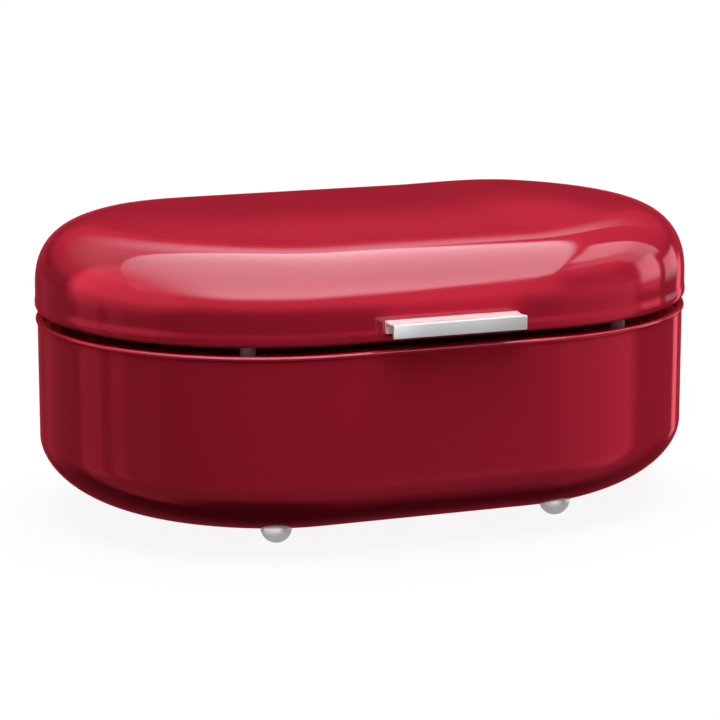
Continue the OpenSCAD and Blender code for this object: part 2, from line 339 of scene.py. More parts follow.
def satin_metal():
    """Anodised aluminium with brush lines along its length."""
    material, n = new_material("satin_metal")
    shader = n.surface(Metallic=0.2, Anisotropic=0.35)
    lines = n.noise(n.coords((6, 900, 900)), 1, 4, 0.7)
    broad = n.noise(n.coords((3, 60, 60)), 1, 2)
    tone = n.blend(lines, broad, 0.7)
    n.link(n.mix(tone, (0.86, 0.865, 0.865), (0.91, 0.915, 0.91)), shader.inputs["Base Color"])
    n.link(n.spread(lines, 0.33, 0.43), shader.inputs["Roughness"])
    n.link(n.bump(lines, 0.006 * MM), shader.inputs["Normal"])
    return material


def foot_metal():
    """Turned metal with a satin finish: fine rings round each foot's own axis."""
    material, n = new_material("foot_metal")
    shader = n.surface(Metallic=0.6)
    coord = n.add("ShaderNodeTexCoord")
    apart = n.add("ShaderNodeSeparateXYZ")
    n.link(coord.outputs["Object"], apart.inputs[0])
    dx = n.minus(n.math("ABSOLUTE", apart.outputs["X"]), foot_x)
    dy = n.minus(n.math("ABSOLUTE", apart.outputs["Y"]), foot_y)
    radius = n.math("SQRT", n.plus(n.times(dx, dx), n.times(dy, dy)))
    turned = n.add("ShaderNodeCombineXYZ")
    n.link(radius, turned.inputs["X"])
    n.link(apart.outputs["Z"], turned.inputs["Z"])
    rings = n.noise(turned.outputs[0], 2600, 2, 0.6)
    cloud = n.noise(n.coords(), 160, 3)
    n.link(n.mix(cloud, (0.78, 0.785, 0.78), (0.88, 0.88, 0.875)), shader.inputs["Base Color"])
    n.link(n.spread(rings, 0.42, 0.54), shader.inputs["Roughness"])
    n.link(n.bump(rings, 0.004 * MM), shader.inputs["Normal"])
    return material


def grey_rubber():
    """Matt moulded rubber with a fine moulded grain."""
    material, n = new_material("grey_rubber")
    shader = n.surface(IOR=1.48)
    at = n.coords()
    n.link(n.mix(n.noise(at, 260, 3), (0.13, 0.128, 0.13), (0.19, 0.187, 0.19)),
           shader.inputs["Base Color"])
    n.link(n.spread(n.noise(at, 500, 2), 0.55, 0.72), shader.inputs["Roughness"])
    n.link(n.bump(n.noise(at, 2400, 2), 0.02 * MM), shader.inputs["Normal"])
    return material


def plated_steel():
    """Zinc-plated steel: cloudy plating with fine rolling marks."""
    material, n = new_material("plated_steel")
    shader = n.surface(Metallic=1.0)
    clouds = n.noise(n.coords(), 240, 4, 0.6)
    marks = n.noise(n.coords((40, 1400, 400)), 1, 3, 0.6)
    n.link(n.mix(clouds, (0.46, 0.46, 0.45), (0.62, 0.62, 0.61)), shader.inputs["Base Color"])
    n.link(n.spread(n.blend(clouds, marks, 0.5), 0.28, 0.44), shader.inputs["Roughness"])
    n.link(n.bump(marks, 0.008 * MM), shader.inputs["Normal"])
    return material


MATERIALS = {"red_enamel": red_enamel(), "satin_metal": satin_metal(), "foot_metal": foot_metal(),
             "grey_rubber": grey_rubber(), "plated_steel": plated_steel()}


def finish_piece(obj, body, slot, node):
    """Gives a new piece the material of its slot and its body, and hides the CAD node that it stands for."""
    obj.data.materials.clear()
    obj.data.materials.append(MATERIALS[slot])
    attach(obj, body)
    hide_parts(node)
    pieces = enamel_pieces if slot == "red_enamel" else metal_pieces
    pieces.append(obj)


# ---------------------------------------------------------------- enamel skins

TOP_GAP = 8 * MM                         # what a section leaves open at the middle, for cover to close
LID_WALL_TOP = edge_z + 13.2 * MM        # where the lid's wall turns into its shoulder
SHOULDER_W = 46 * MM
SHOULDER_POWER = 2.5
CROWN = 0.012                            # how much the lid's top falls away towards its edge
PLATEAU_RISE = 2.2 * MM                  # how much the middle of the top bows up
END_RISE = {-1: 1.4 * MM, 1: 3.6 * MM}   # how much higher the left and the right end stand
END_RISE_FROM = 66 * MM
END_RISE_RUN = 75 * MM
HEM_W = 3 * MM
HEM_R = 0.45 * MM
CURL_W = 1.3 * MM
CURL_H = 3.6 * MM
FLARE = 0.42 * MM                        # how far the wall spreads just above the curl
FLARE_H = 6 * MM


def crowned(points):
    """Bows the lid's top very slightly, as a pressed sheet is."""
    plateau_r = outer_r - SHOULDER_W * 0.75
    out = []
    for rho, z in points:
        fall = max(0.0, z - LID_WALL_TOP) * CROWN * (rho / outer_r) ** 2
        rise = PLATEAU_RISE * max(0.0, 1 - (rho / plateau_r) ** 2) ** 2
        out.append((rho, z - fall + rise))
    return out


def lid_dome(inset):
    """The lid's section from its upright wall to the middle, set in by a distance."""
    r = outer_r - inset
    w = SHOULDER_W - inset
    top = lid_z - inset
    shoulder = superellipse(r, LID_WALL_TOP, w, top - LID_WALL_TOP, SHOULDER_POWER, 56)
    flat = r - w
    inner = [(TOP_GAP + (flat - TOP_GAP) * k / 10, top) for k in range(9, -1, -1)]
    return crowned(shoulder + inner)


def lid_section():
    """The lid's outside, the curled and hemmed edge below it, and the inside."""
    outer = lid_dome(0)[::-1]
    wall = [(outer_r, LID_WALL_TOP - 1.8 * MM)]
    curl_top = edge_z + CURL_H
    for t in [k / 8 for k in range(8)]:
        wall.append((outer_r + FLARE * smooth(t), curl_top + (1 - t) * FLARE_H))
    hem_z = edge_z + HEM_R
    curl = []
    for a in [math.radians(15 * k) for k in range(6)]:
        curl.append((outer_r + FLARE - (CURL_W + FLARE) * (1 - math.cos(a)),
                     hem_z + (CURL_H - HEM_R) * (1 - math.sin(a))))
    hem = arc(outer_r - CURL_W - 0.42 * MM, hem_z, HEM_R, -10, -90, 5)
    lip = arc(outer_r - HEM_W + HEM_R, hem_z, HEM_R, -90, -270, 6)
    inner_r = outer_r - SHEET_T
    inside = [(inner_r - 0.9 * MM, edge_z + 2 * HEM_R), (inner_r - 0.25 * MM, edge_z + 1.3 * MM),
              (inner_r, edge_z + 2.2 * MM)]
    return outer + wall + curl + hem + lip + inside + lid_dome(SHEET_T)


CURVE_W = 62 * MM   # width and height of the round bottom edge
CURVE_H = 41 * MM


def tub_curve(inset, tip):
    """The tub's section from its wall down and inwards to the middle of the pan, set in by a distance."""
    r = wall_r - inset
    low = pan_z + inset
    w = CURVE_W - inset
    h = CURVE_H - inset
    power = 1.85 + 0.13 * (1 - tip) ** 4
    curve = superellipse(r, low + h, w, h, power, 40, -1)
    flat = r - w
    return curve + [(TOP_GAP + (flat - TOP_GAP) * k / 4, low) for k in range(3, -1, -1)]


WALL_TOP = rim_z - 2 * MM
HOLE_Z = rim_z - 20 * MM
HOLE_R = 2 * MM
HOLE_PITCH = 10 * MM
HOLES = 7
HOLE_FLARE = 0.35 * MM


def tub_section(tip):
    """The tub's outside from the middle of the pan to the rim, and its inside back again."""
    rows = [HOLE_Z + rise * MM for rise in (10, 5, 0, -5, -20)]
    heights = [WALL_TOP] + rows
    outer = tub_curve(0, tip)[::-1] + [(wall_r, z) for z in reversed(heights)]
    inner = [(wall_r - SHEET_T, z) for z in heights] + tub_curve(SHEET_T, tip)
    return outer + inner


def rim_section():
    """The rolled bead, the ledge inside it and the ledge's folded lip, as one sheet."""
    bead_r = 1.8 * MM
    bead_x = outer_r - bead_r
    bend_in = 0.6 * MM
    bend_out = 1.3 * MM
    ledge_in = bead_x - 17 * MM
    ledge_low = ledge_z - SHEET_T
    lip_low = ledge_z - 5 * MM
    bead = arc(bead_x, rim_z - bead_r, bead_r, 152, -212, 40)
    back = [(bead_x - 2.2 * MM, ledge_low - 0.05 * MM), (bead_x - 3 * MM, ledge_low),
            (ledge_in + 8 * MM, ledge_low)]
    under = arc(ledge_in + SHEET_T + bend_in, ledge_low - bend_in, bend_in, 90, 180, 4)
    tip = arc(ledge_in + SHEET_T / 2, lip_low + SHEET_T / 2, SHEET_T / 2, 0, -180, 6)
    bend = arc(ledge_in + bend_out, ledge_z - bend_out, bend_out, 180, 90, 6)
    run = [(ledge_in + 6 * MM, ledge_z), (ledge_in + 11 * MM, ledge_z), (bead_x - 2.6 * MM, ledge_z),
           (bead_x - 1.95 * MM, ledge_z + 0.12 * MM)]
    return bead + back + under + tip + bend + run


def lid_ring_section():
    """An angle section: a flat ledge over the bumpers and an upstand against the lid's wall."""
    low = edge_z + 1 * MM
    top = low + 4.4 * MM
    outer = outer_r - SHEET_T - 0.05 * MM
    inner = outer_r - 16 * MM
    points = [(inner, low), (outer, low), (outer, top), (outer - SHEET_T, top),
              (outer - SHEET_T, low + SHEET_T), (inner, low + SHEET_T)]
    edge, outer_bend, inner_bend = 0.4 * MM, 0.9 * MM, 0.3 * MM
    return round_corners(points, [edge, outer_bend, edge, edge, inner_bend, edge], 4)


def carve(obj, steps, sharp_deg):
    """Adds or cuts away other closed shapes, one after another, and keeps the result as the mesh."""
    for other, operation in steps:
        modifier = obj.modifiers.new(other.name, "BOOLEAN")
        modifier.operation = operation
        modifier.object = other
        modifier.solver = "EXACT"
    deps = bpy.context.evaluated_depsgraph_get()
    mesh = bpy.data.meshes.new_from_object(obj.evaluated_get(deps))
    obj.modifiers.clear()
    old = obj.data
    obj.data = mesh
    bpy.data.meshes.remove(old)
    mesh.shade_smooth()
    mesh.set_sharp_from_angle(angle=math.radians(sharp_deg))


def turned_shape(name, section, centre, axis, steps, sharp_deg=35):
    """An object turned from a section about an axis through centre."""
    bm = bmesh.new()
    lathe(bm, section, centre, axis, steps)
    return new_object(name, bm, sharp_deg)


def air_hole_cutter(i):
    """A cutter for one air hole, flared at both faces of the rear wall."""
    wide = HOLE_R + HOLE_FLARE
    over = 1 * MM
    section = [(wide, -over), (wide, 0), (HOLE_R, HOLE_FLARE), (HOLE_R, SHEET_T - HOLE_FLARE),
               (wide, SHEET_T), (wide, SHEET_T + over)]
    x = (i - (HOLES - 1) / 2) * HOLE_PITCH
    return turned_shape("cut_air_%d" % i, section, (x, wall_r - SHEET_T, HOLE_Z), "Y", 32)


def press_tub(tub):
    """Air holes in the tub's rear wall, and a flat seat pressed down over each foot."""
    seat_r, well_r, ease = 8.5 * MM, 7.5 * MM, 0.3 * MM
    steps = [(air_hole_cutter(i), "DIFFERENCE") for i in range(HOLES)]
    for depth, sy in DEPTHS:
        for side, sx in SIDES:
            at = (sx * foot_x, sy * foot_y, 0)
            seat = [(seat_r - ease, seat_z), (seat_r, seat_z + ease), (seat_r, seat_z + 6 * MM)]
            floor_z = seat_z + SHEET_T
            well = [(well_r - ease, floor_z), (well_r, floor_z + ease), (well_r, seat_z + 9 * MM)]
            corner = depth + "_" + side
            steps.append((turned_shape("press_" + corner, seat, at, "Z", 56), "UNION"))
            steps.append((turned_shape("sink_" + corner, well, at, "Z", 56), "DIFFERENCE"))
    carve(tub, steps, 35)
    for cutter, _ in steps:
        bpy.data.objects.remove(cutter)


def raise_ends(lid):
    """Lifts the pressed lid's top slightly towards its two ends."""
    for vertex in lid.data.vertices:
        share = max(0.0, vertex.co.z - LID_WALL_TOP) / (lid_z - LID_WALL_TOP)
        along = min(1.0, max(0.0, (abs(vertex.co.x) - END_RISE_FROM) / END_RISE_RUN))
        end = 1 if vertex.co.x > 0 else -1
        vertex.co.z += END_RISE[end] * min(share, 1.0) ** 2 * smooth(along)


tub = sweep("tub_skin", tub_section, False)
press_tub(tub)
finish_piece(tub, "tub", "red_enamel", "tub_shell")
finish_piece(sweep("rim_skin", rim_section(), True), "tub", "red_enamel", "rim_ring")
lid = sweep("lid_skin", lid_section(), False)
raise_ends(lid)
finish_piece(lid, "lid", "red_enamel", "lid_shell")
finish_piece(sweep("lid_ring_skin", lid_ring_section(), True), "lid", "red_enamel", "lid_ring")


# ---------------------------------------------------------------- hardware

def pull_outline():
    """The pull's channel section, which opens downwards, as (y from the lid's front wall, z)."""
    back_top = edge_z + 13.2 * MM
    rail_z = edge_z + 5.6 * MM
    low = edge_z + 4.4 * MM
    front_z = low + 8.6 * MM
    dish_z = front_z - 0.7 * MM
    web, rail, front = 1.9 * MM, 3.2 * MM, 2.2 * MM
    dish_y, front_y = -5 * MM, -15 * MM
    corners = [((0, back_top), 0.5 * MM), ((0, rail_z), 0.3 * MM), ((-rail, rail_z), 0.4 * MM),
               ((-rail, dish_z - web), 1 * MM), ((dish_y, dish_z - web), 0.3 * MM),
               ((front_y + front, front_z - web), 0.8 * MM), ((front_y + front, low), 0.6 * MM),
               ((front_y, low), 0.7 * MM), ((front_y, front_z), 0.9 * MM), ((dish_y, dish_z), 4 * MM)]
    return round_corners([point for point, _ in corners], [radius for _, radius in corners], 5)


def lid_pull():
    """The pull strip: its channel section drawn out sideways, with softened ends."""
    outline = pull_outline()
    n = len(outline)
    inward = []
    for i in range(n):
        along = Vector(outline[(i + 1) % n]) - Vector(outline[i - 1])
        inward.append(Vector((-along.y, along.x)).normalized())
    area = sum(outline[i - 1][0] * outline[i][1] - outline[i][0] * outline[i - 1][1] for i in range(n))
    turn = 1 if area > 0 else -1
    half = (pull_high.x - pull_low.x) / 2
    ease = 0.35 * MM
    slight = 0.3 * ease
    stations = [(-half, ease), (-half + slight, slight), (-half + ease, 0)]
    stations += [(-half / 2, 0), (0, 0), (half / 2, 0)]
    stations += [(half - ease, 0), (half - slight, slight), (half, ease)]
    bm = bmesh.new()
    rings = []
    for x, inset in stations:
        shift = turn * inset
        rings.append([bm.verts.new((x, y + m.x * shift - outer_r, z + m.y * shift))
                      for (y, z), m in zip(outline, inward)])
    for a, b in zip(rings, rings[1:]):
        for k in range(n):
            bm.faces.new((a[k], b[k], b[(k + 1) % n], a[(k + 1) % n]))
    bm.faces.new(rings[0])
    bm.faces.new(rings[-1])
    return new_object("pull_strip", bm, 40)


finish_piece(lid_pull(), "lid", "satin_metal", "lid_pull")


def feet():
    """Dome feet: a skirt hides the gasket and meets the curve of the pan above it."""
    skirt_top = 13 * MM
    r = 9.6 * MM
    bore = 8.8 * MM
    screw_r = 1.9 * MM
    ease = 0.4 * MM
    dome_z = r - ease
    flat = math.sqrt(r * r - dome_z * dome_z)
    start = math.degrees(math.atan2(-dome_z, flat))
    profile = [(0.6 * MM, 0.15 * MM), (flat - 0.5 * MM, 0)] + arc(0, dome_z, r, start + 2, 0, 28)
    profile += [(r, skirt_top), (bore, skirt_top), (bore, foot_high.z + ease), (bore - ease, foot_high.z),
                (screw_r, foot_high.z)]
    above = [(TOP_GAP, 50 * MM), (wall_r, 50 * MM)]
    clear = 0.05 * MM
    pan = sweep("pan_cutter", lambda tip: above + tub_curve(-clear, tip), False)
    for side, sx in SIDES:
        for depth, sy in DEPTHS:
            corner = depth + "_" + side
            foot = turned_shape("dome_foot_" + corner, profile, (sx * foot_x, sy * foot_y, 0), "Z", 64, 40)
            carve(foot, [(pan, "DIFFERENCE")], 40)
            finish_piece(foot, "tub", "foot_metal", "foot_" + corner)
    bpy.data.objects.remove(pan)


feet()


def bumper_profile(low_z, high_z, r):
    """A push-in pad: a barbed stem below the ledge, a neck through it and a round head above."""
    ledge_low = ledge_z - SHEET_T
    clear = 0.01 * MM
    barb_r, neck_r, head_ease = 2.55 * MM, 1.9 * MM, 1.1 * MM
    stem = [(1.2 * MM, low_z), (barb_r - 0.25 * MM, low_z + 1.6 * MM), (barb_r, ledge_low - 0.5 * MM),
            (barb_r - 0.35 * MM, ledge_low - 0.1 * MM)]
    neck = [(neck_r, ledge_low), (neck_r, ledge_z - clear)]
    head = [(r - 0.4 * MM, ledge_z - clear), (r, ledge_z + 0.4 * MM), (r, high_z - 1.3 * MM)]
    head += arc(r - head_ease, high_z - head_ease, head_ease, 0, 90, 6)
    return stem + neck + head + [(0.8 * MM, high_z)]


def bumpers():
    """Four soft pads, each pushed into the ledge where the CAD has it."""
    for side, _ in SIDES:
        for depth, _ in DEPTHS:
            node = "bumper_%s_%s" % (depth, side)
            low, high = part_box(node)
            centre = ((low.x + high.x) / 2, (low.y + high.y) / 2, 0)
            profile = bumper_profile(low.z, high.z, (high.x - low.x) / 2)
            pad = turned_shape(node + "_pad", profile, centre, "Z", 40, 50)
            finish_piece(pad, "tub", "grey_rubber", node)


bumpers()


def cad_mesh(node):
    """A working copy of a CAD node's mesh, in the frame's own place."""
    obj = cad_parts[node]
    bm = bmesh.new()
    bm.from_mesh(obj.data)
    bm.transform(obj.matrix_world)
    bmesh.ops.remove_doubles(bm, verts=bm.verts, dist=1e-6)
    return bm


def islands(node):
    """The bounds of each separate solid in a CAD node, in a fixed order."""
    bm = cad_mesh(node)
    bm.verts.ensure_lookup_table()
    seen = set()
    found = []
    for vertex in bm.verts:
        if vertex in seen:
            continue
        seen.add(vertex)
        stack = [vertex]
        group = []
        while stack:
            at = stack.pop()
            group.append(at.co.copy())
            for edge in at.link_edges:
                other = edge.other_vert(at)
                if other not in seen:
                    seen.add(other)
                    stack.append(other)
        low = Vector([min(c[k] for c in group) for k in range(3)])
        high = Vector([max(c[k] for c in group) for k in range(3)])
        found.append((low, high))
    bm.free()
    return sorted(found, key=lambda box: tuple(box[0]))


def headed_shank(low, high, head_r, head_t, shank, dome, angles):
    """The section of a shank with a domed head at each end, for rivets and pins."""
    turn = [math.radians(a) for a in angles]
    near = [(head_r * math.cos(a), low + dome * (1 - math.sin(a))) for a in turn]
    far = [(head_r * math.cos(a), high - dome * (1 - math.sin(a))) for a in reversed(turn)]
    under_r = head_r - 0.1 * MM
    return near + [(under_r, low + head_t), (shank, low + head_t),
                   (shank, high - head_t), (under_r, high - head_t)] + far


def rivets(node, body):
    """Round-headed rivets, seated where the CAD has them."""
    head_r, head_t, shank = 2.6 * MM, 1.1 * MM, 1.6 * MM
    bm = bmesh.new()
    for low, high in islands(node):
        profile = headed_shank(low.y, high.y, head_r, head_t, shank, head_t, (84, 70, 56, 42, 28, 14, 4))
        middle = (low + high) / 2
        lathe(bm, profile, (middle.x, 0, middle.z), "Y", 32)
    finish_piece(new_object(node + "_domed", bm, 50), body, "plated_steel", node)


rivets("tub_rivets", "tub")
rivets("lid_rivets", "lid")


def cross_recess(bm, centre, axis, top, head_r, head_t):
    """A tapered cross, as a cutter for one screw's head."""
    long = 0.58 * head_r
    short = 0.17 * head_r
    outline = [(long, short), (short, short), (short, long), (-short, long), (-short, short), (-long, short),
               (-long, -short), (-short, -short), (-short, -long), (short, -long), (short, -short),
               (long, -short)]
    n = len(outline)
    rings = []
    for height, taper in ((top - 0.55 * head_t, 0.6), (top + 0.5 * MM, 1.15)):
        ring = []
        for u, v in outline:
            a = u * taper
            b = v * taper
            place = {"Y": (a, height, b), "Z": (a, b, height)}[axis]
            ring.append(bm.verts.new(Vector(centre) + Vector(place)))
        rings.append(ring)
    low_ring, high_ring = rings
    for i in range(n):
        bm.faces.new((low_ring[i], low_ring[(i + 1) % n], high_ring[(i + 1) % n], high_ring[i]))
    bm.faces.new(low_ring)
    bm.faces.new(high_ring)


def screws(node, body, axis, head_r, head_t, shank):
    """Pan-head screws with a cross recess, seated where the CAD has them."""
    k = "XYZ".index(axis)
    tip_ease = 0.3 * MM
    head_ease = 0.15 * MM
    turn = [math.radians(a) for a in (10, 26, 42, 58, 74, 86)]
    bm = bmesh.new()
    cross = bmesh.new()
    for low, high in islands(node):
        bottom = low[k]
        top = high[k]
        profile = [(shank - tip_ease, bottom), (shank, bottom + tip_ease), (shank, top - head_t),
                   (head_r - head_ease, top - head_t), (head_r, top - head_t + head_ease)]
        profile += [(head_r * math.cos(a), top - 0.75 * head_t * (1 - math.sin(a))) for a in turn]
        centre = list((low + high) / 2)
        centre[k] = 0
        lathe(bm, profile, centre, axis, 40)
        cross_recess(cross, centre, axis, top, head_r, head_t)
    obj = new_object(node + "_recessed", bm, 45)
    recess = new_object("recess", cross)
    carve(obj, [(recess, "DIFFERENCE")], 45)
    bpy.data.objects.remove(recess)
    finish_piece(obj, body, "plated_steel", node)


screws("pull_screws", "lid", "Y", 2.8 * MM, 1.8 * MM, 1.5 * MM)
screws("foot_screws", "tub", "Z", 3.6 * MM, 2.2 * MM, 1.8 * MM)


def pins():
    """Hinge pins with both ends peened over."""
    head_r, head_t, shank = 2.4 * MM, 1 * MM, 1.5 * MM
    for side, _ in SIDES:
        node = "hinge_pin_" + side
        low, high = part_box(node)
        profile = headed_shank(low.x, high.x, head_r, head_t, shank, 0.8 * head_t, (82, 66, 50, 34, 18, 4))
        middle = (low + high) / 2
        pin = turned_shape(node + "_peened", profile, (0, middle.y, middle.z), "X", 40, 50)
        finish_piece(pin, "tub", "plated_steel", node)


pins()


def eased(node, body, slot, width):
    """A CAD part with its sheared edges slightly rounded."""
    flat_angle = math.radians(1)
    corner_angle = math.radians(40)
    bm = cad_mesh(node)
    bmesh.ops.dissolve_limit(bm, angle_limit=flat_angle, verts=bm.verts, edges=bm.edges)
    sharp = [e for e in bm.edges if len(e.link_faces) == 2 and e.calc_face_angle(0) > corner_angle]
    bmesh.ops.bevel(bm, geom=sharp, offset=width, segments=2, profile=0.5, affect="EDGES", clamp_overlap=True)
    finish_piece(new_object(node + "_eased", bm), body, slot, node)


PLATE_EASE = 0.2 * MM
WASHER_EASE = 0.12 * MM
for side, _ in SIDES:
    for plate in ("leaf", "backing"):
        for body in ("tub", "lid"):
            eased("%s_%s_%s" % (body, plate, side), body, "plated_steel", PLATE_EASE)
    for depth, _ in DEPTHS:
        eased("foot_gasket_%s_%s" % (depth, side), "tub", "grey_rubber", WASHER_EASE)
eased("foot_washers", "tub", "plated_steel", WASHER_EASE)
eased("pull_washers", "lid", "plated_steel", WASHER_EASE)


# ---------------------------------------------------------------- studio

def paper_floor():
    """A wide pale floor that the camera sees, and that throws no light back on the bin."""
    half = 30
    bm = bmesh.new()
    corners = [(-half, -half), (half, -half), (half, half), (-half, half)]
    bm.faces.new([bm.verts.new((x, y, 0)) for x, y in corners])
    paper = new_object("floor", bm)
    material, n = new_material("floor_paper")
    shader = n.surface(Roughness=0.9, Specular_IOR_Level=0.0, Emission_Color=(1, 1, 1, 1),
                       Emission_Strength=0.91)
    tone = n.noise(n.coords(), 40, 3)
    n.link(n.mix(tone, (0.1, 0.1, 0.1), (0.11, 0.11, 0.11)), shader.inputs["Base Color"])
    paper.data.materials.append(material)
    paper.visible_glossy = False
    paper.visible_diffuse = False
    return paper


def white_background():
    """A world that the camera sees as white, and that lights the bin only dimly."""
    world = bpy.data.worlds.new("studio")
    scene.world = world
    world.use_nodes = True
    n = Nodes(world.node_tree)
    path = n.add("ShaderNodeLightPath")
    mixer = n.add("ShaderNodeMixShader")
    n.link(path.outputs["Is Camera Ray"], mixer.inputs[0])
    for socket, strength in ((1, 0.05), (2, 1.0)):
        background = n.add("ShaderNodeBackground")
        background.inputs["Color"].default_value = (1, 1, 1, 1)
        background.inputs["Strength"].default_value = strength
        n.link(background.outputs[0], mixer.inputs[socket])
    out = n.add("ShaderNodeOutputWorld")
    n.link(mixer.outputs[0], out.inputs["Surface"])


floor = paper_floor()
white_background()


def softbox(name, place, size, power, only, aim_z=0.1, glossy=False):
    """A rectangular soft light, aimed at the bin, for the pieces in one collection.

    A glossy one is seen in mirror images and lights nothing else.
    """
    light = bpy.data.lights.new(name, "AREA")
    light.shape = "RECTANGLE"
    light.size, light.size_y = size
    light.energy = power
    obj = bpy.data.objects.new(name, light)
    scene.collection.objects.link(obj)
    obj.location = place
    obj.rotation_euler = (Vector((0, 0, aim_z)) - Vector(place)).to_track_quat("-Z", "Y").to_euler()
    obj.visible_camera = False
    obj.visible_glossy = glossy
    obj.visible_diffuse = not glossy
    obj.light_linking.receiver_collection = only
    return obj


def collection_of(name, objects):
    collection = bpy.data.collections.new(name)
    for obj in objects:
        collection.objects.link(obj)
    return collection


def floor_sun(receivers):
    """A very soft sun, nearly overhead, for the faint shadow on the floor."""
    sun = bpy.data.lights.new("floor_sun", "SUN")
    sun.energy = math.pi
    sun.angle = math.radians(70)
    obj = bpy.data.objects.new("floor_sun", sun)
    scene.collection.objects.link(obj)
    obj.location = (0, 0, 3)
    obj.rotation_euler = (math.radians(-8), math.radians(6), 0)
    obj.visible_glossy = False
    obj.light_linking.receiver_collection = receivers


enamel_only = collection_of("enamel_only", enamel_pieces)
metal_only = collection_of("metal_only", metal_pieces)
pieces_only = collection_of("pieces_only", enamel_pieces + metal_pieces)

softbox("key", (-0.25, -1.0, 2.2), (1.8, 1.8), 36, pieces_only)
softbox("overhead", (0.0, -0.1, 2.4), (1.6, 1.6), 12, pieces_only)
softbox("right_fill", (2.1, -0.9, 0.7), (1.2, 1.2), 13, pieces_only)
softbox("rear_fill", (0.3, 2.4, 1.0), (1.6, 1.2), 22, pieces_only)
softbox("front_fill", (-1.0, -2.2, 0.9), (1.6, 1.2), 4, pieces_only, aim_z=0.08)
softbox("metal_top", (0, -0.5, 1.6), (3.0, 2.4), 70, metal_only, glossy=True)
softbox("metal_front", (-0.8, -2.4, 0.5), (3.6, 2.2), 75, metal_only, glossy=True)
softbox("metal_left", (-2.2, -0.2, 0.5), (2.4, 2.0), 50, metal_only, glossy=True)
softbox("metal_right", (2.2, 0.2, 0.5), (2.4, 2.0), 50, metal_only, glossy=True)
softbox("metal_rear", (0.4, 2.4, 0.7), (3.0, 2.0), 40, metal_only, glossy=True)
below = softbox("metal_below", (0, 0, -0.6), (3.0, 3.0), 16, metal_only, glossy=True)
below.light_linking.blocker_collection = collection_of("below_blockers", enamel_pieces)
floor_sun(collection_of("floor_only", [floor]))


class Directions:
    """Where on the far sphere a point is, as values of a node tree.

    x, y and z are the direction's parts, so z is the sine of its height above the horizon. azimuth is
    0 in front (-Y) and grows to the right, in radians. u and v are its place on a ceiling one metre up.
    """

    def __init__(self, n):
        self.n = n
        coord = n.add("ShaderNodeTexCoord")
        unit = n.add("ShaderNodeVectorMath", operation="NORMALIZE")
        n.link(coord.outputs["Object"], unit.inputs[0])
        apart = n.add("ShaderNodeSeparateXYZ")
        n.link(unit.outputs[0], apart.inputs[0])
        self.x, self.y, self.z = apart.outputs
        self.azimuth = n.math("ARCTAN2", self.x, n.times(self.y, -1.0))
        up = n.math("MAXIMUM", self.z, 0.02)
        self.u = n.math("DIVIDE", self.x, up)
        self.v = n.math("DIVIDE", self.y, up)

    def patch(self, azimuths, heights, *strengths):
        """A soft-edged patch: each range gives where it fades in, from and to, and where it fades out."""
        n = self.n
        return n.times(n.band(self.azimuth, *azimuths), n.band(self.z, *heights), *strengths)


LEFT_WINDOW = (1.35, 1.45, 1.68, 1.75)
MIDDLE_WINDOW = (1.8, 1.84, 2.1, 2.15)
RIGHT_WINDOW = (2.1, 2.15, 2.24, 2.3)


def white_panels(n, to):
    """The white light: the overhead panel, a narrow one on its right, windows, and the pale rear wall."""
    x, y, z, u, v = to.x, to.y, to.z, to.u, to.v
    # Overhead panel: its right edge curves, its left edge fades out, and its rear edge is at the wall
    ahead = n.minus(1.0, v)
    right = n.plus(n.times(ahead, ahead, 0.04), 0.56)
    left = n.plus(n.times(v, 0.6), -0.65)
    rear = n.plus(n.times(u, 0.35), 0.86)
    covered = n.ramp(n.minus(rear, v), -0.02, 0.02)
    overhead = n.times(n.ramp(n.minus(right, u), -0.03, 0.03), covered, n.ramp(z, 0.29, 0.45),
                       n.ramp(n.minus(u, left), -1.1, 0.5, 0.12, 1.1), n.ramp(z, 0.4, 0.7, 4.5, 3.8))
    # Narrow second panel, with a dimmer one in front of it
    near_edge = n.minus(v, n.ramp(u, 0.6, 1.8, -0.62, -0.05))
    far_edge = n.minus(n.times(u, 0.3), v)
    low_fade = n.ramp(z, 0.2, 0.3)
    second = n.times(n.ramp(u, 0.66, 0.72), n.ramp(near_edge, -0.05, 0.15), n.ramp(far_edge, -0.03, 0.03),
                     low_fade, n.ramp(u, 0.8, 1.8, 2.8, 1.2))
    under_second = n.times(n.ramp(u, 0.7, 0.9), n.band(near_edge, -0.6, -0.3, -0.05, 0.15), low_fade, 0.8)
    # Windows at table height on the right
    windows = n.plus(to.patch(LEFT_WINDOW, (-0.1, 0.0, 0.2, 0.35), 1.3),
                     to.patch(MIDDLE_WINDOW, (-0.16, -0.08, 0.08, 0.14), 0.7),
                     to.patch(RIGHT_WINDOW, (-0.35, -0.25, -0.1, 0.0), 0.2))
    # The rear wall, above where the overhead panel ends
    wall = n.times(n.minus(1.0, covered), n.ramp(y, 0.0, 0.3), n.ramp(z, 0.3, 0.7, 0.0, 1.4),
                   n.ramp(x, -0.1, 0.25, 0.35, 1.0), n.ramp(x, 0.33, 0.6, 1.0, 0.25))
    return n.plus(overhead, second, under_second, windows, wall)


